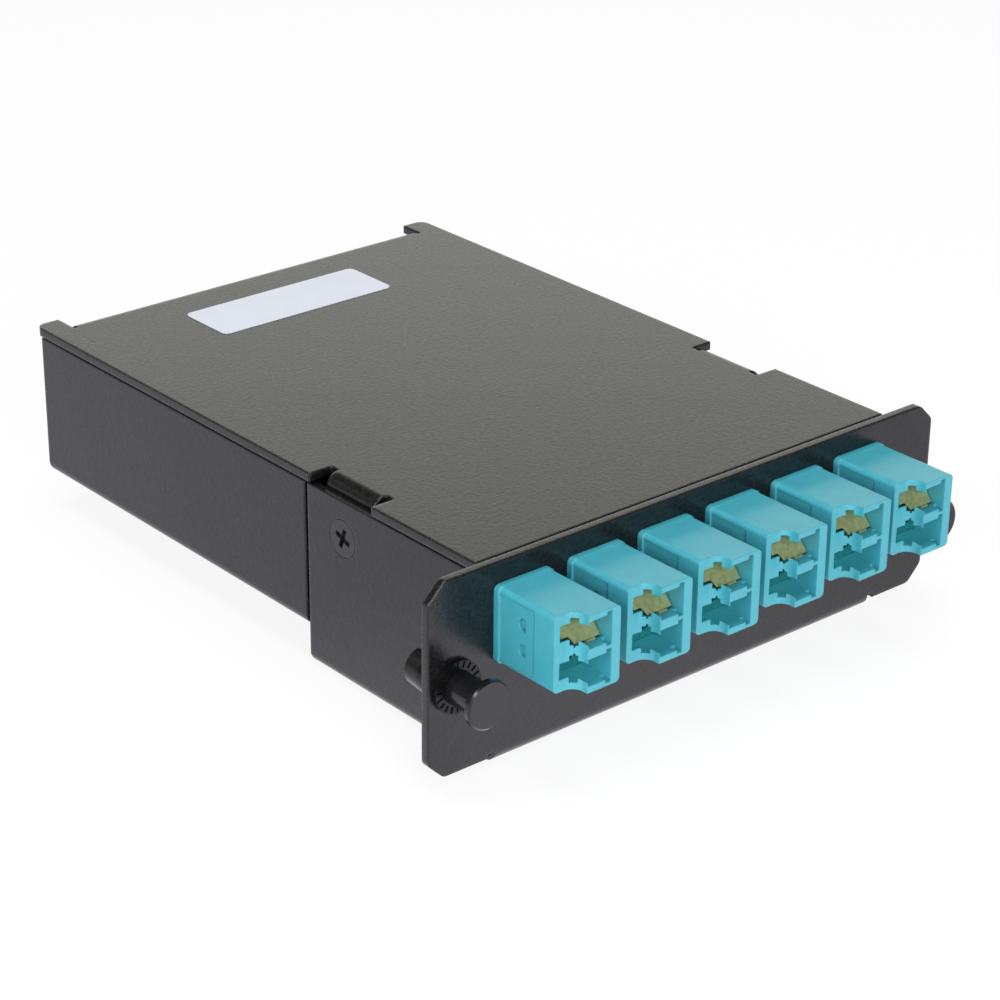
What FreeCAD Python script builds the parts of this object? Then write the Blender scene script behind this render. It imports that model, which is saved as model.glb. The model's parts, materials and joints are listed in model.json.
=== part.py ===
import FreeCAD, Part
import math
import os

V = FreeCAD.Vector

# Frame: the origin is midway between the two latch axes on the panel's back face.
# X runs along the panel, Y goes back into the case, Z is up. All sizes are in millimetres.

# Sheet metal
sheet = 1.5
bend_radius = 0.6
relief_width = 0.8
sheet_gap = 0.3
slip_gap = 0.1

# Front panel and chassis
panel_height = 33.2
panel_corner = 3.0
panel_round = 1.6
latch_outset = 5.7
ear_end = 5.2
latch_height = 15.15
floor_drop = 1.4
ear_notch = 1.2
case_width = 87.6
cheek_depth = 42.5
cheek_corner = 1.2
ledge_length = 10.0
ledge_inset = 2.0

# Rear tray
case_depth = 121.4
tray_lift = 6.3
seam_gap = 0.8
tray_corner = 1.5
rivet_radius = 1.6
rivet_head_radius = 2.8
rivet_head = 0.8
rivet_pitch = 28.0
rivet_inset = 5.0
hole_gap = 0.05

# Top cover
cover_overhang = 0.4
cover_gap = 0.55
lug_width = 4.7
lug_reach = 1.2
lug_round = 1.8
back_flange = 8.5
tab_start = 27.3
tab_length = 12.2
tab_drop = 13.6
tab_relief = 1.9
tab_relief_depth = 0.4

# Cover screws and the nuts they turn in
screw_rise = 9.45
screw_radius = 1.75
screw_head_radius = 3.2
screw_head = 1.35
screw_length = 6.0
cross_width = 0.9
cross_length = 3.6
cross_depth = 0.9
cross_turn = 20.0
seat_gap = 0.12
nut_radius = 3.2
nut_shank_radius = 2.6
nut_thickness = 1.8

# Adapter housings
adapter_count = 6
cheek_room = 5.8
adapter_width = 10.5
adapter_height = 12.9
adapter_sag = 0.06
adapter_rise = 7.92
adapter_reach = 16.4
adapter_tail = 13.0
adapter_round = 0.8
cutout_gap = 0.15
collar_width = 11.1
collar_height = 13.15
collar_thickness = 1.1
collar_round = 1.0
neck_width = 9.8
neck_height = 12.1
latch_recess = 2.95
recess_flat = 2.0
recess_curve = 2.1

# Ports, measured from the housing's latch side
port_pitch = 6.25
port_height = 4.6
port_wall = 1.15
slot_length = 1.75
slot_height = 2.75
slot_lip = 0.3
tooth_start = 3.6
tooth_width = 0.6
tooth_height = 0.8
tooth_round = 0.25
tooth_depth = 1.9
port_end = 8.8
groove_width = 1.05
groove_height = 0.55
groove_depth = 1.6
web_front = 4.5
web_back = -0.5
rear_port_wall = 1.9
dent_depth = 0.7
dent_radius = 1.1
dent_flat = 0.4
dent_setback = 9.9
dent_pitch = 4.3
seam_setback = 7.5
seam_width = 0.35
seam_depth = 0.15
side_sink = 0.1
side_margin = 1.0

# Alignment sleeves
sleeve_length = 11.0
sleeve_radius = 0.8
sleeve_bore = 0.635
sleeve_slit = 0.2
sleeve_forward = 9.0
holder_radius = 1.5
holder_lip = 0.3
holder_bore = 0.7

# Shutter leaves
hinge_depth = 2.32
hinge_sink = 0.1
leaf_tilt = 40.8
leaf_thickness = 0.2
leaf_gap = 0.2
leaf_tip_gap = 0.15
leaf_foot = 0.3
leaf_shoulder = 0.6
leaf_left = 1.75
leaf_notch_width = 1.3
leaf_notch_height = 1.7
knuckle_radius = 0.32
knuckle_gap = 0.06
knuckle_start = 5.7
knuckle_width = 1.7
leaf_pocket = 0.35

# Saddle clips
clip_sheet = 0.3
clip_gap = 0.03
clip_start = 1.2
clip_length = 6.4
wing_reach = 1.4
wing_width = 4.0
wing_gap = 0.25

# Latches
flange_radius = 4.4
flange_thickness = 0.9
flange_ribs = 20
rib_inner = 3.2
rib_width = 0.4
rib_height = 0.2
barrel_radius = 3.4
barrel_shoulder = 0.3
shoulder_reach = 0.15
barrel_length = 3.5
barrel_tip_radius = 3.1
barrel_tip = 3.3
barrel_slit = 0.7
slit_run = 1.0
barrel_hole_gap = 0.1
stem_radius = 2.75
stem_gap = 0.05
stem_point = 1.0
stem_point_radius = 1.8
cap_radius = 4.05
cap_thickness = 1.1
cap_rim = 0.3
plunger_travel = 5.8
plunger_stop_gap = 0.15

# Inner plugs
plug_side = 4.5
plug_start = 0.8
plug_length = 15.0
ferrule_radius = 0.625
mating_plane = 3.5
boot_radius = 1.6
boot_end_radius = 1.0
boot_length = 10.0

# Trunk adapter and plug in the back wall
trunk_rise = 2.95
trunk_width = 15.4
trunk_height = 10.4
trunk_reach = 10.0
trunk_inside = 12.0
trunk_flange_width = 26.0
trunk_flange = 1.6
trunk_port_width = 12.6
trunk_port_height = 7.6
trunk_web = 2.0
trunk_window_width = 7.0
trunk_window_height = 3.2
trunk_key_width = 4.0
trunk_key_height = 0.8
trunk_screw_pitch = 20.4
trunk_screw_radius = 1.1
trunk_screw_head_radius = 1.9
trunk_screw_head = 1.2
trunk_screw_length = 5.0
trunk_plug_gap = 0.15
trunk_plug_length = 20.0
trunk_boot_length = 12.0
trunk_boot_radius = 2.6
trunk_boot_end_radius = 1.9
ferrule_block_width = 6.4
ferrule_block_height = 2.5

# Fibres
trunk_radius = 1.5
trunk_run = 8.0
splitter_width = 12.0
splitter_height = 5.0
splitter_length = 14.0
leg_radius = 0.45
leg_pitch = 1.8
leg_row = 2.0
leg_straight = 7.0
leg_bend_share = 0.45

# Label on the cover
label_width = 37.6
label_height = 12.5
label_round = 1.2
label_thickness = 0.12
label_shift = -1.7
label_setback = 17.3

# Levels and faces that follow from the sizes above
bend_outer = bend_radius + sheet
panel_low = -latch_height
panel_top = panel_low + panel_height
front_face = -sheet
floor_under = panel_low - floor_drop
tray_under = floor_under + tray_lift
cover_top = panel_top
cover_under = cover_top - sheet
wall_top = cover_under - cover_gap
half_case = case_width / 2
latch_spacing = case_width + 2 * latch_outset
panel_length = latch_spacing + 2 * ear_end
adapter_pitch = (case_width - 2 * (sheet + cheek_room)) / (adapter_count - 1)
half_inside = half_case - sheet
half_fold = half_case - bend_outer
step_back = cheek_depth - sheet_gap
tray_front = cheek_depth + seam_gap
back_inside = case_depth - sheet
tab_outer = half_inside - slip_gap
flange_outer = back_inside - slip_gap
screw_depth = tab_start + tab_length / 2
adapter_front = front_face - adapter_reach
port_floor = (port_pitch - port_height) / 2
port_axis = (tooth_start + tooth_width + port_end) / 2
flange_front = front_face - flange_thickness - rib_height
cap_back = flange_front - plunger_stop_gap - plunger_travel
cap_front = cap_back - cap_thickness
plug_end = plug_start + plug_length
boot_end = plug_end + boot_length


def box(x0, x1, y0, y1, z0, z1):
    return Part.makeBox(x1 - x0, y1 - y0, z1 - z0, V(x0, y0, z0))


def rod(x, y, z, radius, length, direction):
    return Part.makeCylinder(radius, length, V(x, y, z), direction)


def taper(x, y, z, start_radius, end_radius, length, direction):
    return Part.makeCone(start_radius, end_radius, length, V(x, y, z), direction)


def mirror_x(shape):
    return shape.mirror(V(0, 0, 0), V(1, 0, 0))


def joined(shapes):
    return shapes[0].multiFuse(shapes[1:]).removeSplitter()


def in_plane(plane, offset):
    """Map 2-D points to the XY, XZ or YZ plane at an offset along the third axis."""
    if plane == "XY":
        return lambda p: V(p[0], p[1], offset)
    if plane == "XZ":
        return lambda p: V(p[0], offset, p[1])
    return lambda p: V(offset, p[0], p[1])


def sweep_vector(plane, distance):
    axis = {"XY": V(0, 0, 1), "XZ": V(0, 1, 0), "YZ": V(1, 0, 0)}[plane]
    return axis * distance


def prism(points, plane, start, end):
    place = in_plane(plane, start)
    corners = [place(p) for p in points]
    face = Part.Face(Part.makePolygon(corners + corners[:1]))
    return face.extrude(sweep_vector(plane, end - start))


def rounded_along(shape, direction, radius):
    """Round every edge of a straight-sided solid that runs along a direction."""
    edges = [e for e in shape.Edges if abs(e.tangentAt(e.FirstParameter).dot(direction)) > 0.5]
    return shape.makeFillet(radius, edges)


def rounded_bar(x0, x1, z0, z1, radius, y0, y1):
    """Bar along Y whose section is a rectangle with rounded corners."""
    return rounded_along(box(x0, x1, y0, y1, z0, z1), V(0, 1, 0), radius)


def corner_waste(y, z, radius, x0, x1):
    """Material outside a rounded lower corner at the +Y end of a wall, or the -Y end if radius < 0."""
    size = abs(radius)
    middle_y = y - radius
    block = box(x0, x1, min(y, middle_y), max(y, middle_y), z, z + size)
    return block.cut(rod(x0, middle_y, z + size, size, x1 - x0, V(1, 0, 0)))


def folded(points, plane, start, end):
    """Bent sheet on the left of a path of 2-D points, swept from start to end across its plane."""
    path = [V(p[0], p[1], 0) for p in points]
    steps = [(b - a).normalize() for a, b in zip(path, path[1:])]
    sides = [V(-d.y, d.x, 0) * sheet for d in steps]
    place = in_plane(plane, start)
    near = []
    far = []
    last = path[0]
    for i, corner in enumerate(path[1:-1]):
        cross = steps[i].x * steps[i + 1].y - steps[i].y * steps[i + 1].x
        turn = math.atan2(cross, steps[i].dot(steps[i + 1]))
        radius = bend_outer if turn > 0 else bend_radius
        far_radius = bend_radius if turn > 0 else bend_outer
        setback = radius * math.tan(abs(turn) / 2)
        arc_start = corner - steps[i] * setback
        arc_end = corner + steps[i + 1] * setback
        centre = arc_start + sides[i] * (math.copysign(radius, turn) / sheet)
        outward = (corner - centre).normalize()
        near.append(Part.LineSegment(place(last), place(arc_start)).toShape())
        near.append(Part.Arc(place(arc_start), place(centre + outward * radius), place(arc_end)).toShape())
        far.append(Part.LineSegment(place(last + sides[i]), place(arc_start + sides[i])).toShape())
        far_middle = place(centre + outward * far_radius)
        far.append(Part.Arc(place(arc_start + sides[i]), far_middle, place(arc_end + sides[i + 1])).toShape())
        last = arc_end
    near.append(Part.LineSegment(place(last), place(path[-1])).toShape())
    far.append(Part.LineSegment(place(last + sides[-1]), place(path[-1] + sides[-1])).toShape())
    caps = [
        Part.LineSegment(place(path[0]), place(path[0] + sides[0])).toShape(),
        Part.LineSegment(place(path[-1]), place(path[-1] + sides[-1])).toShape(),
    ]
    outline = Part.Wire(Part.__sortEdges__(near + far + caps))
    return Part.Face(outline).extrude(sweep_vector(plane, end - start))


def adapter_centres():
    middle = (adapter_count - 1) / 2
    return [(i - middle) * adapter_pitch for i in range(adapter_count)]


def side_hole(radius, x0, x1):
    """Hole through both side walls on the cover screws' axis."""
    return [rod(s * x0, screw_depth, screw_rise, radius, x1 - x0, V(s, 0, 0)) for s in (-1, 1)]


def front_chassis():
    side = folded(
        [(-half_case, wall_top), (-half_case, floor_under), (half_case, floor_under), (half_case, wall_top)],
        "XZ", sheet_gap, cheek_depth)
    bend_zone = floor_under + bend_outer + relief_width
    half_relief = half_fold + relief_width
    side = side.cut(box(-half_case, half_case, 0, bend_outer - sheet, floor_under, bend_zone))
    step_start = step_back - bend_outer
    side = side.cut(box(-half_fold, half_fold, step_start, cheek_depth, floor_under, bend_zone))
    for s in (-1, 1):
        edges = sorted((s * half_fold, s * half_relief))
        slit = box(edges[0], edges[1], step_start - relief_width, cheek_depth, floor_under, bend_zone)
        side = side.cut(slit)
    side = side.cut(corner_waste(cheek_depth, floor_under, cheek_corner, -half_case, half_case))
    spine = folded(
        [(front_face, panel_top), (front_face, floor_under), (step_back, floor_under),
         (step_back, tray_under - sheet), (tray_front + ledge_length, tray_under - sheet)],
        "YZ", -half_fold, half_fold)
    end = panel_length / 2
    flat = end - panel_corner
    panel = prism(
        [(-end, panel_low + panel_corner), (-flat, panel_low),
         (flat, panel_low), (end, panel_low + panel_corner),
         (end, panel_top - panel_corner), (flat, panel_top),
         (-flat, panel_top), (-end, panel_top - panel_corner)],
        "XZ", front_face, 0)
    panel = rounded_along(panel, V(0, 1, 0), panel_round)
    half_notch = half_fold + ear_notch
    panel = panel.cut(box(-half_notch, half_notch, front_face, 0, panel_low, floor_under + bend_outer))
    for s in (-1, 1):
        edges = sorted((s * (half_fold - ledge_inset), s * half_fold))
        spine = spine.cut(box(
            edges[0], edges[1], step_back, tray_front + ledge_length, tray_under - sheet, tray_under))
    chassis = joined([spine, side, panel])
    half_width = neck_width / 2 + cutout_gap
    half_height = neck_height / 2 + cutout_gap
    for x in adapter_centres():
        chassis = chassis.cut(box(
            x - half_width, x + half_width, front_face, 0,
            adapter_rise - half_height, adapter_rise + half_height))
    for s in (-1, 1):
        radius = barrel_radius + barrel_shoulder + barrel_hole_gap
        hole = rod(s * latch_spacing / 2, front_face, 0, radius, sheet, V(0, 1, 0))
        chassis = chassis.cut(hole)
        sink = taper(s * half_case, screw_depth, screw_rise, screw_head_radius + seat_gap,
                     screw_radius + hole_gap, screw_head, V(-s, 0, 0))
        chassis = chassis.cut(sink)
    for hole in side_hole(screw_radius + hole_gap, half_inside, half_case):
        chassis = chassis.cut(hole)
    for x, y in rivet_places():
        hole = rod(x, y, tray_under - sheet, rivet_radius + hole_gap, sheet, V(0, 0, 1))
        chassis = chassis.cut(hole)
    return chassis


def rivet_places():
    return [(i * rivet_pitch, tray_front + rivet_inset) for i in (-1, 0, 1)]


def rear_tray():
    side = folded(
        [(-half_case, wall_top), (-half_case, tray_under), (half_case, tray_under), (half_case, wall_top)],
        "XZ", tray_front, case_depth)
    bend_zone = tray_under + bend_outer + relief_width
    half_relief = half_fold + relief_width
    side = side.cut(box(
        -half_relief, half_relief, case_depth - bend_outer, case_depth, tray_under, bend_zone))
    side = side.cut(corner_waste(tray_front, tray_under, -tray_corner, -half_case, half_case))
    floor = folded(
        [(tray_front, tray_under), (case_depth, tray_under), (case_depth, wall_top)],
        "YZ", -half_fold, half_fold)
    wall = box(-tab_outer, tab_outer, back_inside, case_depth, tray_under + bend_outer, wall_top)
    tray = joined([floor, side, wall])
    for x, y in rivet_places():
        tray = tray.cut(rod(x, y, tray_under, rivet_radius + hole_gap, sheet, V(0, 0, 1)))
    half_width = trunk_width / 2 + cutout_gap
    half_height = trunk_height / 2 + cutout_gap
    tray = tray.cut(box(
        -half_width, half_width, back_inside, case_depth, trunk_rise - half_height, trunk_rise + half_height))
    for s in (-1, 1):
        hole = rod(s * trunk_screw_pitch / 2, back_inside, trunk_rise, trunk_screw_radius + hole_gap, sheet,
                   V(0, 1, 0))
        tray = tray.cut(hole)
    return tray


def tray_rivets():
    rivets = []
    for x, y in rivet_places():
        low = tray_under - sheet
        shank = rod(x, y, low, rivet_radius, 2 * sheet, V(0, 0, 1))
        lower = taper(x, y, low, rivet_head_radius, rivet_radius, rivet_head, V(0, 0, -1))
        upper = taper(x, y, low + 2 * sheet, rivet_head_radius, rivet_radius, rivet_head, V(0, 0, 1))
        rivets.append(joined([shank, lower, upper]))
    return Part.makeCompound(rivets)


def top_cover():
    edge = half_case + cover_overhang
    back = case_depth + lug_reach
    cover = box(-edge, edge, sheet_gap, back, cover_under, cover_top)
    lug_corners = [e for e in cover.Edges if e.Length < 2 * sheet and e.CenterOfMass.y > case_depth]
    cover = cover.makeFillet(lug_round, lug_corners)
    lug_inner = edge - lug_width
    flange_half = lug_inner - relief_width
    flange_bend = flange_outer - bend_outer
    cover = cover.cut(box(-flange_half, flange_half, flange_bend, back, cover_under, cover_top))
    tab_bend = tab_outer - bend_outer
    tab_end = tab_start + tab_length
    notch_inner = tab_bend - tab_relief_depth
    for s in (-1, 1):
        slit = sorted((s * flange_half, s * lug_inner))
        cover = cover.cut(box(
            slit[0], slit[1], flange_bend - tab_relief_depth, back, cover_under, cover_top))
        outer = sorted((s * tab_bend, s * edge))
        cover = cover.cut(box(outer[0], outer[1], tab_start, tab_end, cover_under, cover_top))
        deep = sorted((s * notch_inner, s * edge))
        for y0 in (tab_start - tab_relief, tab_end):
            cover = cover.cut(box(deep[0], deep[1], y0, y0 + tab_relief, cover_under, cover_top))
    tab = folded(
        [(-notch_inner, cover_top), (-tab_outer, cover_top), (-tab_outer, cover_top - tab_drop)],
        "XZ", tab_start, tab_end)
    flange = folded(
        [(flange_outer, cover_top - back_flange), (flange_outer, cover_top),
         (flange_bend - tab_relief_depth, cover_top)],
        "YZ", -flange_half, flange_half)
    cover = joined([cover, tab, mirror_x(tab), flange])
    for hole in side_hole(nut_shank_radius + hole_gap, tab_outer - sheet, tab_outer):
        cover = cover.cut(hole)
    return cover


def cover_screws():
    head = taper(-half_case, screw_depth, screw_rise, screw_head_radius, screw_radius, screw_head, V(1, 0, 0))
    shank = rod(-half_case + screw_head, screw_depth, screw_rise, screw_radius, screw_length - screw_head,
                V(1, 0, 0))
    screw = joined([head, shank])
    end = -half_case + cross_depth
    for length, width in ((cross_length, cross_width), (cross_width, cross_length)):
        slot = box(-half_case, end, screw_depth - length / 2, screw_depth + length / 2,
                   screw_rise - width / 2, screw_rise + width / 2)
        slot.rotate(V(0, screw_depth, screw_rise), V(1, 0, 0), cross_turn)
        screw = screw.cut(slot)
    return Part.makeCompound([screw, mirror_x(screw)])


def clinch_nuts():
    inner = tab_outer - sheet
    shank = rod(-tab_outer, screw_depth, screw_rise, nut_shank_radius, sheet, V(1, 0, 0))
    body = rod(-inner, screw_depth, screw_rise, nut_radius, nut_thickness, V(1, 0, 0))
    depth = sheet + nut_thickness
    bore = rod(-tab_outer, screw_depth, screw_rise, screw_radius + hole_gap, depth, V(1, 0, 0))
    nut = joined([shank, body]).cut(bore)
    return Part.makeCompound([nut, mirror_x(nut)])


def port_cut(side):
    """Cavity of one port through the front housing; side is 1 for the upper port and -1 for the lower."""
    middle = side * port_pitch / 2
    left = -adapter_width / 2
    half = port_height / 2
    lip_back = adapter_front + latch_recess + slot_lip
    main_start = port_wall + slot_length
    shapes = [
        box(left + port_wall, left + port_end, lip_back, front_face, middle - half, middle + half),
        box(left + main_start, left + port_end, adapter_front, lip_back, middle - half, middle + half),
        box(left + port_wall, left + main_start, adapter_front, lip_back,
            middle - slot_height / 2, middle + slot_height / 2),
        box(left + port_end - groove_width, left + port_end, adapter_front, adapter_front + groove_depth,
            middle - half - groove_height, middle + half + groove_height),
    ]
    cavity = joined(shapes)
    for s in (-1, 1):
        tooth = rounded_bar(
            left + tooth_start, left + tooth_start + tooth_width, -tooth_height, tooth_height, tooth_round,
            adapter_front, adapter_front + tooth_depth)
        tooth.translate(V(0, 0, middle + s * half))
        cavity = cavity.cut(tooth)
    return cavity


def hinge_point(side):
    """Depth and height of a leaf's hinge axis in the housing's own frame."""
    return adapter_front + hinge_depth, side * (port_floor - hinge_sink)


def leaf_length():
    return (port_height - leaf_tip_gap + hinge_sink) / math.cos(math.radians(leaf_tilt))


def leaf_pocket_cut(side):
    """Room in the wall between the ports for a leaf that lies flat, and for its knuckle."""
    left = -adapter_width / 2
    y, z = hinge_point(side)
    end = y + leaf_length() + leaf_gap
    floor = sorted((side * port_floor, side * (port_floor - leaf_pocket)))
    wide = box(left + tooth_start - leaf_gap, left + port_end, y - knuckle_gap, end, floor[0], floor[1])
    lip_back = adapter_front + latch_recess + slot_lip
    narrow = box(left + leaf_left - leaf_gap, left + tooth_start - leaf_gap, lip_back, end,
                 floor[0], floor[1])
    groove = rod(left + knuckle_start - leaf_gap, y, z, knuckle_radius + knuckle_gap,
                 knuckle_width + 2 * leaf_gap, V(1, 0, 0))
    return [wide, narrow, groove]


def front_housing():
    """Ported front half of an adapter: X and Z are from the adapter's middle, Y is as in the part."""
    half_width = adapter_width / 2
    low = -adapter_height / 2 - adapter_sag
    high = low + adapter_height
    left = -half_width
    shell = rounded_bar(left, half_width, low, high, adapter_round, adapter_front, front_face)
    low_front = adapter_front + latch_recess
    curve_start = left + recess_flat
    tip = curve_start + recess_curve
    curve_middle = recess_curve * math.sqrt(0.5)
    place = in_plane("XY", low)
    corners = [
        (tip, low_front - recess_curve), (tip, adapter_front), (left, adapter_front), (left, low_front),
        (curve_start, low_front)]
    edges = [Part.LineSegment(place(a), place(b)).toShape() for a, b in zip(corners, corners[1:])]
    middle = (curve_start + curve_middle, low_front - recess_curve + curve_middle)
    edges.append(Part.Arc(place(corners[-1]), place(middle), place(corners[0])).toShape())
    waste = Part.Face(Part.Wire(Part.__sortEdges__(edges))).extrude(V(0, 0, adapter_height))
    collar_half = collar_height / 2
    collar = rounded_bar(
        -collar_width / 2, collar_width / 2, -collar_half - adapter_sag, collar_half - adapter_sag,
        collar_round, front_face - collar_thickness, front_face)
    body = joined([shell.cut(waste), collar])
    for side in (-1, 1):
        body = body.cut(port_cut(side))
        for cut in leaf_pocket_cut(side):
            body = body.cut(cut)
    for cut in surface_marks():
        body = body.cut(cut)
    return body


def rear_housing():
    """Rear half of an adapter: its neck, two plugs that close the front half, and the sleeve holders."""
    left = -adapter_width / 2
    half = port_height / 2
    solids = [rounded_bar(
        -neck_width / 2, neck_width / 2, -neck_height / 2, neck_height / 2, adapter_round,
        front_face, adapter_tail)]
    for side in (-1, 1):
        middle = side * port_pitch / 2
        solids.append(box(
            left + port_wall, left + port_end, -web_front, front_face, middle - half, middle + half))
    body = joined(solids)
    for side in (-1, 1):
        middle = side * port_pitch / 2
        body = body.cut(box(
            left + rear_port_wall, left + port_end, web_back, adapter_tail, middle - half, middle + half))
    body = joined([body] + [sleeve_holder(side) for side in (-1, 1)])
    for side in (-1, 1):
        for cut in sleeve_bores(side):
            body = body.cut(cut)
    return body


def adapter_body():
    return Part.makeCompound([front_housing(), rear_housing()])


def sleeve_holder(side):
    x = port_axis - adapter_width / 2
    start = -sleeve_forward - holder_lip
    return rod(x, start, side * port_pitch / 2, holder_radius, sleeve_length + 2 * holder_lip, V(0, 1, 0))


def sleeve_bores(side):
    x = port_axis - adapter_width / 2
    z = side * port_pitch / 2
    seat = rod(x, -sleeve_forward, z, sleeve_radius + hole_gap, sleeve_length, V(0, 1, 0))
    mouth = rod(x, -sleeve_forward - holder_lip, z, holder_bore, sleeve_length + 2 * holder_lip, V(0, 1, 0))
    return [seat, mouth]


def surface_marks():
    """Shallow mould marks on the latch side: a sunk field behind a seam, and two half-round dents."""
    left = -adapter_width / 2
    seam = adapter_front + seam_setback
    low = -adapter_height / 2 - adapter_sag + side_margin
    high = low + adapter_height - 2 * side_margin
    field = box(left, left + side_sink, seam, front_face - collar_thickness, low, high)
    marks = [field, box(left, left + seam_depth, seam, seam + seam_width, low, high)]
    y = adapter_front + dent_setback
    for z in (-dent_pitch / 2, dent_pitch / 2):
        dent = rod(left, y, z, dent_radius, dent_depth, V(1, 0, 0))
        front_half = box(
            left, left + dent_depth, y - dent_radius, y - dent_flat, z - dent_radius, z + dent_radius)
        marks.append(dent.cut(front_half))
    return marks


def sleeve_pair():
    x = port_axis - adapter_width / 2
    sleeves = []
    for side in (-1, 1):
        z = side * port_pitch / 2
        tube = rod(x, -sleeve_forward, z, sleeve_radius, sleeve_length, V(0, 1, 0))
        tube = tube.cut(rod(x, -sleeve_forward, z, sleeve_bore, sleeve_length, V(0, 1, 0)))
        slit = box(x - sleeve_slit / 2, x + sleeve_slit / 2, -sleeve_forward, sleeve_length - sleeve_forward,
                   z, z + sleeve_radius)
        sleeves.append(tube.cut(slit))
    return Part.makeCompound(sleeves)


def shutter_leaf(side):
    """Leaf that closes one port: drawn lying flat, then turned up about its knuckle."""
    left = -adapter_width / 2
    y, z = hinge_point(side)
    length = leaf_length()
    right = left + port_end - leaf_gap
    start = left + leaf_left
    foot = left + tooth_start
    notch = start + leaf_notch_width
    knuckle = left + knuckle_start
    outline = [
        (knuckle, y), (knuckle + knuckle_width, y), (knuckle + knuckle_width, y + leaf_foot),
        (right, y + leaf_foot), (right, y + length), (start, y + length), (start, y + leaf_notch_height),
        (notch, y + leaf_notch_height), (foot, y + leaf_shoulder), (foot, y + leaf_foot),
        (knuckle, y + leaf_foot)]
    leaf = prism(outline, "XY", z - leaf_thickness / 2, z + leaf_thickness / 2)
    barrel = rod(knuckle, y, z, knuckle_radius, knuckle_width, V(1, 0, 0))
    leaf = joined([leaf, barrel])
    leaf.rotate(V(0, y, z), V(1, 0, 0), side * (90 - leaf_tilt))
    return leaf


def saddle_clip():
    """Spring saddle over the housing's neck, with a wing above and below that bears on the panel."""
    side_inner = neck_width / 2 + clip_gap
    side_outer = side_inner + clip_sheet
    inner = neck_height / 2 + clip_gap
    outer = inner + clip_sheet
    half_wing = wing_width / 2
    end = clip_start + clip_length
    root = end - clip_sheet
    back = box(side_inner, side_outer, clip_start, end, -outer, outer)
    leg = box(-neck_width / 2, side_outer, clip_start, end, inner, outer)
    window = box(-half_wing, half_wing, clip_start + clip_sheet, root, inner, outer)
    wing = prism(
        [(root, inner), (root, outer), (wing_gap, outer + wing_reach), (wing_gap, inner + wing_reach)],
        "YZ", -half_wing, half_wing)
    arm = joined([leg.cut(window), wing])
    return joined([back, arm, arm.mirror(V(0, 0, 0), V(0, 0, 1))])


def inner_plug_pair():
    x = port_axis - adapter_width / 2
    half = plug_side / 2
    plugs = []
    for side in (-1, 1):
        z = side * port_pitch / 2
        start = plug_start + sleeve_length - sleeve_forward
        body = box(x - half, x + half, start, plug_end, z - half, z + half)
        ferrule = rod(x, -mating_plane, z, ferrule_radius, plug_end + mating_plane, V(0, 1, 0))
        boot = taper(x, plug_end, z, boot_radius, boot_end_radius, boot_length, V(0, 1, 0))
        plugs.append(joined([body, ferrule, boot]))
    return Part.makeCompound(plugs)


def latch_grommet():
    """Panel-fastener sleeve on the +X side: ribbed flange, split barrel and tapered legs."""
    x = latch_spacing / 2
    flange = rod(x, front_face - flange_thickness, 0, flange_radius, flange_thickness, V(0, 1, 0))
    shoulder = rod(x, front_face, 0, barrel_radius + barrel_shoulder, sheet + shoulder_reach, V(0, 1, 0))
    barrel = rod(x, 0, 0, barrel_radius, barrel_length, V(0, 1, 0))
    legs = taper(x, barrel_length, 0, barrel_radius, barrel_tip_radius, barrel_tip, V(0, 1, 0))
    rib = box(x + rib_inner, x + flange_radius - rib_height, flange_front, front_face - flange_thickness,
              -rib_width / 2, rib_width / 2)
    ribs = []
    for i in range(flange_ribs):
        turned = rib.copy()
        turned.rotate(V(x, 0, 0), V(0, 1, 0), 360.0 * i / flange_ribs)
        ribs.append(turned)
    grommet = joined([flange, shoulder, barrel, legs] + ribs)
    end = barrel_length + barrel_tip
    bore = rod(x, flange_front, 0, stem_radius + stem_gap, end - flange_front, V(0, 1, 0))
    grommet = grommet.cut(bore)
    half = barrel_slit / 2
    slit_start = barrel_length - slit_run
    return grommet.cut(box(x - half, x + half, slit_start, end, -barrel_radius, barrel_radius))


def latch_plunger():
    """Push-pull plunger on the +X side, pulled out."""
    x = latch_spacing / 2
    tip = barrel_length + barrel_tip
    profile = [
        (0, cap_front), (cap_radius - cap_rim, cap_front), (cap_radius, cap_front + cap_rim),
        (cap_radius, cap_back),
        (stem_radius, cap_back), (stem_radius, tip - stem_point), (stem_point_radius, tip), (0, tip)]
    corners = [V(x + r, y, 0) for r, y in profile]
    face = Part.Face(Part.makePolygon(corners + corners[:1]))
    return face.revolve(V(x, 0, 0), V(0, 1, 0), 360)


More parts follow.
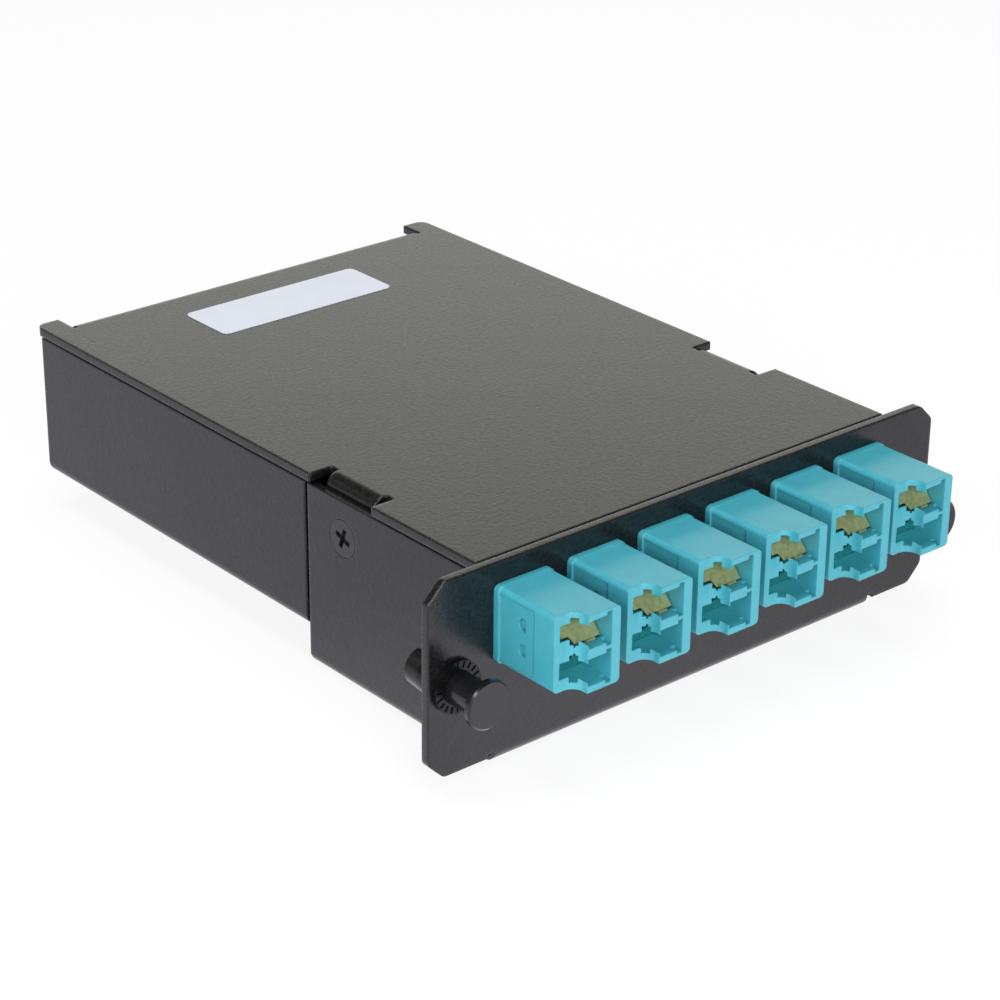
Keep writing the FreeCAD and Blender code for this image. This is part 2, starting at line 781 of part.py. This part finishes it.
def trunk_adapter():
    """Multi-fibre adapter in the back wall: a flanged body with a port at each end."""
    half_width = trunk_width / 2
    half_height = trunk_height / 2
    end = case_depth + trunk_flange + trunk_reach
    start = back_inside - trunk_inside
    body = box(-half_width, half_width, start, end, trunk_rise - half_height, trunk_rise + half_height)
    half_flange = trunk_flange_width / 2
    flange = box(-half_flange, half_flange, case_depth, case_depth + trunk_flange,
                 trunk_rise - half_height, trunk_rise + half_height)
    adapter = joined([body, flange])
    port_half = trunk_port_width / 2
    port_rise = trunk_port_height / 2
    web_end = case_depth + trunk_web / 2
    web_begin = web_end - trunk_web
    key_half = trunk_key_width / 2
    for y0, y1 in ((start, web_begin), (web_end, end)):
        adapter = adapter.cut(box(
            -port_half, port_half, y0, y1, trunk_rise - port_rise, trunk_rise + port_rise))
        adapter = adapter.cut(box(
            -key_half, key_half, y0, y1, trunk_rise, trunk_rise + port_rise + trunk_key_height))
    window_half = trunk_window_width / 2
    window_rise = trunk_window_height / 2
    adapter = adapter.cut(box(
        -window_half, window_half, web_begin, web_end, trunk_rise - window_rise, trunk_rise + window_rise))
    for s in (-1, 1):
        x = s * trunk_screw_pitch / 2
        hole = rod(x, case_depth, trunk_rise, trunk_screw_radius + hole_gap, trunk_flange, V(0, 1, 0))
        adapter = adapter.cut(hole)
    return adapter


def trunk_adapter_screws():
    seat = case_depth + trunk_flange
    screws = []
    for s in (-1, 1):
        x = s * trunk_screw_pitch / 2
        head = rod(x, seat, trunk_rise, trunk_screw_head_radius, trunk_screw_head, V(0, 1, 0))
        shank = rod(x, seat, trunk_rise, trunk_screw_radius, trunk_screw_length, V(0, -1, 0))
        screws.append(joined([head, shank]))
    return Part.makeCompound(screws)


def trunk_plug_back():
    return case_depth - trunk_web / 2 - trunk_plug_gap


def trunk_boot_end():
    return trunk_plug_back() - trunk_plug_length - trunk_boot_length


def trunk_plug():
    """Multi-fibre plug in the trunk adapter's inner port, with its fibre block in the window."""
    half_width = trunk_port_width / 2 - trunk_plug_gap
    half_height = trunk_port_height / 2 - trunk_plug_gap
    end = trunk_plug_back()
    start = end - trunk_plug_length
    body = box(-half_width, half_width, start, end, trunk_rise - half_height, trunk_rise + half_height)
    block_half = ferrule_block_width / 2
    block_rise = ferrule_block_height / 2
    block = box(-block_half, block_half, end, end + trunk_web / 2,
                trunk_rise - block_rise, trunk_rise + block_rise)
    boot = taper(0, start, trunk_rise, trunk_boot_radius, trunk_boot_end_radius, trunk_boot_length,
                 V(0, -1, 0))
    return joined([body, block, boot])


def fibre_trunk():
    return rod(0, trunk_boot_end(), trunk_rise, trunk_radius, trunk_run, V(0, -1, 0))


def splitter_front():
    return trunk_boot_end() - trunk_run - splitter_length


def fibre_splitter():
    start = splitter_front()
    half_height = splitter_height / 2
    half_width = splitter_width / 2
    return rounded_bar(-half_width, half_width, trunk_rise - half_height, trunk_rise + half_height,
                       trunk_radius, start, start + splitter_length)


def tube(points, radius):
    """Round tube along straight runs joined by tangent arcs."""
    path = [V(*p) for p in points]
    runs = [b - a for a, b in zip(path, path[1:])]
    edges = []
    last = path[0]
    for i, corner in enumerate(path[1:-1]):
        before = runs[i] * (1 / runs[i].Length)
        after = runs[i + 1] * (1 / runs[i + 1].Length)
        setback = leg_bend_share * min(runs[i].Length, runs[i + 1].Length)
        arc_start = corner - before * setback
        arc_end = corner + after * setback
        half_turn = before.getAngle(after) / 2
        arc_radius = setback / math.tan(half_turn)
        inward = (after - before).normalize()
        middle = corner + inward * (arc_radius / math.cos(half_turn) - arc_radius)
        edges.append(Part.LineSegment(last, arc_start).toShape())
        edges.append(Part.Arc(arc_start, middle, arc_end).toShape())
        last = arc_end
    edges.append(Part.LineSegment(last, path[-1]).toShape())
    section = Part.Wire(Part.makeCircle(radius, path[0], runs[0]))
    return Part.Wire(edges).makePipeShell([section], True, True)


def fibre_legs():
    """One thin fibre from the splitter to each inner plug."""
    start = splitter_front()
    legs = []
    for i, centre in enumerate(adapter_centres()):
        end_x = centre + port_axis - adapter_width / 2
        start_x = (i - (adapter_count - 1) / 2) * leg_pitch
        for side in (-1, 1):
            start_z = trunk_rise + side * leg_row / 2
            end_z = adapter_rise + side * port_pitch / 2
            legs.append(tube(
                [(start_x, start, start_z), (start_x, start - leg_straight, start_z),
                 (end_x, boot_end + leg_straight, end_z), (end_x, boot_end, end_z)], leg_radius))
    return Part.makeCompound(legs)


def blank_label():
    x = label_shift
    y = case_depth - label_setback
    sticker = box(x - label_width / 2, x + label_width / 2, y - label_height / 2, y + label_height / 2,
                  cover_top, cover_top + label_thickness)
    return rounded_along(sticker, V(0, 0, 1), label_round)


def placed(shape, x):
    moved = shape.copy()
    moved.translate(V(x, 0, adapter_rise))
    return moved


def build():
    nodes = {
        "front_chassis": front_chassis(),
        "rear_tray": rear_tray(),
        "tray_rivets": tray_rivets(),
        "top_cover": top_cover(),
        "cover_screws": cover_screws(),
        "clinch_nuts": clinch_nuts(),
        "trunk_adapter": trunk_adapter(),
        "trunk_adapter_screws": trunk_adapter_screws(),
        "trunk_plug": trunk_plug(),
        "fibre_trunk": fibre_trunk(),
        "fibre_splitter": fibre_splitter(),
        "fibre_legs": fibre_legs(),
        "blank_label": blank_label(),
    }
    per_adapter = {
        "adapter": adapter_body(),
        "adapter_clip": saddle_clip(),
        "sleeves": sleeve_pair(),
        "shutter_upper": shutter_leaf(1),
        "shutter_lower": shutter_leaf(-1),
        "inner_plugs": inner_plug_pair(),
    }
    for number, x in enumerate(adapter_centres(), start=1):
        for name, shape in per_adapter.items():
            nodes[f"{name}_{number}"] = placed(shape, x)
    for name, shape in (("latch_grommet", latch_grommet()), ("latch_plunger", latch_plunger())):
        nodes[f"{name}_right"] = shape
        nodes[f"{name}_left"] = mirror_x(shape)
    return nodes


os.makedirs("parts", exist_ok=True)
for node, shape in build().items():
    shape.exportStep(f"parts/{node}.step")
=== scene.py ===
import json
import bpy
from mathutils import Matrix, Vector


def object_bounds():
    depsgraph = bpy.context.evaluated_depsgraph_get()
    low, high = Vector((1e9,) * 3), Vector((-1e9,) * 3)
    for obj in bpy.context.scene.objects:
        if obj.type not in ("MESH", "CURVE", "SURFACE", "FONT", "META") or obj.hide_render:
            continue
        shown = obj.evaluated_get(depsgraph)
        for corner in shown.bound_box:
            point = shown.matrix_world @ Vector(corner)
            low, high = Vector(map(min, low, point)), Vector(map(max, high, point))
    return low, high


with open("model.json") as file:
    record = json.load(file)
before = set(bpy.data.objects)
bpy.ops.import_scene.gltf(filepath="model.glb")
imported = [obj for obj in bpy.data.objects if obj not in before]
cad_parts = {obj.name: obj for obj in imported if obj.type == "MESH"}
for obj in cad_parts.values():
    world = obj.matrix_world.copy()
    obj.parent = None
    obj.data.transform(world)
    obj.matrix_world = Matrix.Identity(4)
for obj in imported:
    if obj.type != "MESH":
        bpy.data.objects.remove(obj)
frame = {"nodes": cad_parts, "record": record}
cad_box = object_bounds()
nodes = frame["nodes"]
scene = bpy.context.scene

MM = 0.001
WHITE = (1, 1, 1, 1)

# Camera fitted to the photo
IMAGE_WIDTH = 1000
FOCAL_PIXELS = 2847.15
SENSOR_WIDTH = 36.0
CLIP_NEAR = 0.01
CLIP_FAR = 10.0
CAMERA_PLACE = Vector((-287.385, -289.952, 206.961)) * MM
CAMERA_FORWARD = Vector((0.58751, 0.68779, -0.42635))
CAMERA_RIGHT = Vector((0.76317, -0.64614, 0.00929))

# Noise in the finishes, and how far the grain sways the roughness
NOISE_LOW = 0.3
NOISE_HIGH = 0.7
DRIFT_DETAIL = 3.0
GRAIN_DETAIL = 2.0
ROUGHNESS_SWAY = 0.15
EDGE_SAMPLES = 6

# Finishes, with patch, grain, height and edge in millimetres
FINISHES = {
    "powder_coat": {"colour": (0.0050, 0.0050, 0.0055), "spread": 0.6, "patch": 0.8, "roughness": 0.26,
                    "grain": 0.75, "height": 0.028, "edge": 0.7},
    "black_screw": {"colour": (0.014, 0.014, 0.015), "spread": 0.2, "patch": 2, "roughness": 0.35,
                    "grain": 0.3, "height": 0.01},
    "zinc_steel": {"colour": (0.55, 0.55, 0.53), "spread": 0.08, "patch": 1, "roughness": 0.35,
                   "metallic": 1.0},
    "aqua_plastic": {"colour": (0.045, 0.295, 0.365), "spread": 0.04, "patch": 3, "roughness": 0.34,
                     "grain": 0.25, "height": 0.002, "edge": 0.25},
    "spring_steel": {"colour": (0.55, 0.55, 0.52), "spread": 0.06, "patch": 1, "roughness": 0.3,
                     "metallic": 1.0},
    "sleeve_ceramic": {"colour": (0.84, 0.82, 0.76), "spread": 0.03, "patch": 1, "roughness": 0.2},
    "plug_plastic": {"colour": (0.5, 0.47, 0.38), "spread": 0.05, "patch": 2, "roughness": 0.4},
    "leaf_metal": {"colour": (0.29, 0.33, 0.155), "spread": 0.18, "patch": 0.8, "roughness": 0.45,
                   "metallic": 0.5, "grain": 0.2, "height": 0.004},
    # Lower shutter leaves: a teal, fully metallic copy of leaf_metal, a painted reflection of the teal
    # port walls and painted shade on a leaf that is really olive
    "leaf_painted_teal_reflection": {"colour": (0.25, 0.64, 0.58), "spread": 0.10, "patch": 0.8, "roughness": 0.30,
                    "metallic": 1.0, "grain": 0.2, "height": 0.004},
    "latch_plastic": {"colour": (0.003, 0.003, 0.0035), "spread": 0.15, "patch": 2, "roughness": 0.25,
                      "grain": 0.5, "height": 0.004, "specular": 0.3},
    "plunger_plastic": {"colour": (0.006, 0.006, 0.007), "spread": 0.15, "patch": 2, "roughness": 0.2,
                        "grain": 0.5, "height": 0.004, "specular": 0.52},
    "trunk_plastic": {"colour": (0.012, 0.012, 0.013), "spread": 0.15, "patch": 2, "roughness": 0.4,
                      "grain": 0.4, "height": 0.01},
    "fibre_jacket": {"colour": (0.01, 0.28, 0.36), "spread": 0.06, "patch": 4, "roughness": 0.45},
    "label_paper": {"colour": (0.55, 0.572, 0.645), "spread": 0.02, "patch": 4, "roughness": 0.55},
}

# Floor: mostly plain white to the camera, and a painted pool of light, brighter emission around the
# part that shows only in its reflections
FLOOR_DROP = 0.05 * MM
FLOOR_REACH = 1.6
FLOOR_COLOUR = (0.85, 0.85, 0.86, 1)
FLOOR_ROUGHNESS = 0.9
FLOOR_WHITENESS = 0.88
PAINTED_LIGHT_POOL_CENTRE = (-0.02, -0.02)
PAINTED_LIGHT_POOL_RADIUS = 0.09
PAINTED_LIGHT_POOL_INSIDE = (1.44, 1.40, 1.50, 1)
PAINTED_LIGHT_POOL_OUTSIDE = (0.91, 0.88, 0.96, 1)

# Surroundings: bright up to a low ceiling line, and brightest behind the part on its right
WORLD_STRENGTH = 1.36
CEILING_STOPS = ((0.46, (1, 1.01, 0.93, 1)), (0.57, (0.04, 0.04, 0.04, 1)))
SCREEN_SIDE = (0.65, 0.76, 0)
SCREEN_STOPS = ((0.0, (0.4, 0.4, 0.4, 1)), (0.45, (0.12, 0.12, 0.12, 1)), (0.6, (0.12, 0.12, 0.12, 1)),
                (0.8, WHITE))

# Soft lights: name, place, target and power
LIGHT_SIZE = 0.6
LIGHTS = (
    ("key", (-0.25, -0.85, 0.30), (0, 0, 0), 8.7),
    ("fill", (-0.85, -0.10, 0.35), (0, 0, 0), 5.5),
    ("top", (0.0, 0.0, 0.95), (0, 0.05, 0), 7.0),
)


# Shader nodes
def add(tree, kind, values=None, **settings):
    """New shader node with its settings and the values of its inputs."""
    made = tree.nodes.new("ShaderNode" + kind)
    for setting, value in settings.items():
        setattr(made, setting, value)
    for socket, value in (values or {}).items():
        made.inputs[socket].default_value = value
    return made


def join(tree, source, output, target, socket):
    tree.links.new(source.outputs[output], target.inputs[socket])


def add_ramp(tree, stops):
    """Colour ramp with the given stops, each a place and a colour."""
    ramp = add(tree, "ValToRGB")
    elements = ramp.color_ramp.elements
    for place, _ in stops[1:-1]:
        elements.new(place)
    for element, (place, colour) in zip(elements, stops):
        element.position = place
        element.color = colour
    return ramp


# Materials
def add_grain(tree, place, shader, roughness, grain, height, edge):
    """Fine relief that also sways the roughness, on edges that look rounded."""
    pits = add(tree, "TexNoise", {"Scale": 1 / (grain * MM), "Detail": GRAIN_DETAIL})
    relief = add(tree, "Bump", {"Strength": 1.0, "Distance": height * MM})
    gleam = add(tree, "MapRange", {
        "From Min": NOISE_LOW, "From Max": NOISE_HIGH,
        "To Min": (1 - ROUGHNESS_SWAY) * roughness, "To Max": (1 + ROUGHNESS_SWAY) * roughness})
    join(tree, place, "Object", pits, "Vector")
    join(tree, pits, "Fac", relief, "Height")
    join(tree, relief, "Normal", shader, "Normal")
    join(tree, pits, "Fac", gleam, "Value")
    join(tree, gleam, "Result", shader, "Roughness")
    if edge:
        rounding = add(tree, "Bevel", {"Radius": edge * MM}, samples=EDGE_SAMPLES)
        join(tree, rounding, "Normal", relief, "Normal")


def surface(name, colour, spread, patch, roughness, metallic=0.0, specular=0.5, grain=0.0, height=0.0,
            edge=0.0):
    """Procedural finish whose colour drifts a little over patches, with an optional grain."""
    material = bpy.data.materials.new(name)
    material.use_nodes = True
    tree = material.node_tree
    shader = tree.nodes["Principled BSDF"]
    shader.inputs["Roughness"].default_value = roughness
    shader.inputs["Metallic"].default_value = metallic
    shader.inputs["Specular IOR Level"].default_value = specular
    darker = [c * (1 - spread) for c in colour] + [1]
    lighter = [min(1, c * (1 + spread)) for c in colour] + [1]
    place = add(tree, "TexCoord")
    drift = add(tree, "TexNoise", {"Scale": 1 / (patch * MM), "Detail": DRIFT_DETAIL})
    tint = add_ramp(tree, ((NOISE_LOW, darker), (NOISE_HIGH, lighter)))
    join(tree, place, "Object", drift, "Vector")
    join(tree, drift, "Fac", tint, "Fac")
    join(tree, tint, "Color", shader, "Base Color")
    if grain:
        add_grain(tree, place, shader, roughness, grain, height, edge)
    return material


finishes = {name: surface(name, **look) for name, look in FINISHES.items()}
for entry in frame["record"]["subparts"]:
    slot = entry["material_slot"]
    # The lower shutters take the teal copy of the leaf: painted reflection and painted shade from the
    # port around them
    if entry["node"].startswith("shutter_lower"):
        slot = "leaf_painted_teal_reflection"
    materials = nodes[entry["node"]].data.materials
    materials.clear()
    materials.append(finishes[slot])

# Camera
camera = bpy.data.objects.new("camera", bpy.data.cameras.new("camera"))
scene.collection.objects.link(camera)
camera.data.sensor_width = SENSOR_WIDTH
camera.data.lens = FOCAL_PIXELS * SENSOR_WIDTH / IMAGE_WIDTH
camera.data.clip_start = CLIP_NEAR
camera.data.clip_end = CLIP_FAR
forward = CAMERA_FORWARD.normalized()
right = (CAMERA_RIGHT - forward * CAMERA_RIGHT.dot(forward)).normalized()
up = right.cross(forward)
turn = Matrix((right, up, -forward)).transposed().to_4x4()
camera.matrix_world = Matrix.Translation(CAMERA_PLACE) @ turn
scene.camera = camera

# Floor
floor_z = cad_box[0].z - FLOOR_DROP
corners = [(x * FLOOR_REACH, y * FLOOR_REACH, floor_z) for x, y in ((-1, -1), (1, -1), (1, 1), (-1, 1))]
floor_mesh = bpy.data.meshes.new("floor")
floor_mesh.from_pydata(corners, [], [(0, 1, 2, 3)])
floor = bpy.data.objects.new("floor", floor_mesh)
scene.collection.objects.link(floor)
paper = bpy.data.materials.new("floor_paper")
paper.use_nodes = True
tree = paper.node_tree
matt = tree.nodes["Principled BSDF"]
matt.inputs["Base Color"].default_value = FLOOR_COLOUR
matt.inputs["Roughness"].default_value = FLOOR_ROUGHNESS
rays = add(tree, "LightPath")
where = add(tree, "TexCoord")
away = add(tree, "VectorMath", {1: (*PAINTED_LIGHT_POOL_CENTRE, floor_z)}, operation="DISTANCE")
span = add(tree, "MapRange", {"From Max": PAINTED_LIGHT_POOL_RADIUS})
# Painted pool of light: the floor's emission is brighter near the part, and only glossy rays see it
painted_light_pool = add_ramp(tree, ((0.0, PAINTED_LIGHT_POOL_INSIDE), (1.0, PAINTED_LIGHT_POOL_OUTSIDE)))
tint = add(tree, "Mix", data_type="RGBA")
tint.inputs["B"].default_value = WHITE
plain = add(tree, "Emission")
whiteness = add(tree, "Math", {1: FLOOR_WHITENESS}, operation="MULTIPLY")
share = add(tree, "Math", operation="MAXIMUM")
either = add(tree, "MixShader")
join(tree, where, "Object", away, 0)
join(tree, away, "Value", span, "Value")
join(tree, span, "Result", painted_light_pool, "Fac")
join(tree, painted_light_pool, "Color", tint, "A")
join(tree, rays, "Is Camera Ray", tint, "Factor")
join(tree, tint, "Result", plain, "Color")
join(tree, rays, "Is Camera Ray", whiteness, 0)
join(tree, whiteness, "Value", share, 0)
join(tree, rays, "Is Glossy Ray", share, 1)
join(tree, share, "Value", either, "Fac")
join(tree, matt, "BSDF", either, 1)
join(tree, plain, "Emission", either, 2)
join(tree, either, "Shader", tree.nodes["Material Output"], "Surface")
floor_mesh.materials.append(paper)

# Surroundings
world = bpy.data.worlds.new("studio")
world.use_nodes = True
scene.world = world
tree = world.node_tree
around = tree.nodes["Background"]
around.inputs["Strength"].default_value = WORLD_STRENGTH
direction = add(tree, "TexCoord")
parts = add(tree, "SeparateXYZ")
ceiling = add_ramp(tree, CEILING_STOPS)
facing = add(tree, "VectorMath", {1: SCREEN_SIDE}, operation="DOT_PRODUCT")
sweep = add(tree, "MapRange", {"From Min": -1.0})
screen = add_ramp(tree, SCREEN_STOPS)
shade = add(tree, "Mix", {"Factor": 1.0}, data_type="RGBA", blend_type="MULTIPLY")
backdrop = add(tree, "Background", {"Color": WHITE})
rays = add(tree, "LightPath")
either = add(tree, "MixShader")
join(tree, direction, "Generated", parts, "Vector")
join(tree, direction, "Generated", facing, 0)
join(tree, parts, "Z", ceiling, "Fac")
join(tree, facing, "Value", sweep, "Value")
join(tree, sweep, "Result", screen, "Fac")
join(tree, ceiling, "Color", shade, "A")
join(tree, screen, "Color", shade, "B")
join(tree, shade, "Result", around, "Color")
join(tree, rays, "Is Camera Ray", either, "Fac")
join(tree, around, "Background", either, 1)
join(tree, backdrop, "Background", either, 2)
join(tree, either, "Shader", tree.nodes["World Output"], "Surface")

# Lights
for name, place, target, power in LIGHTS:
    lamp = bpy.data.lights.new(name, "AREA")
    lamp.shape = "SQUARE"
    lamp.size = LIGHT_SIZE
    lamp.energy = power
    holder = bpy.data.objects.new(name, lamp)
    holder.location = place
    holder.rotation_euler = (Vector(target) - Vector(place)).to_track_quat("-Z", "Y").to_euler()
    scene.collection.objects.link(holder)

scene.view_settings.view_transform = "Standard"
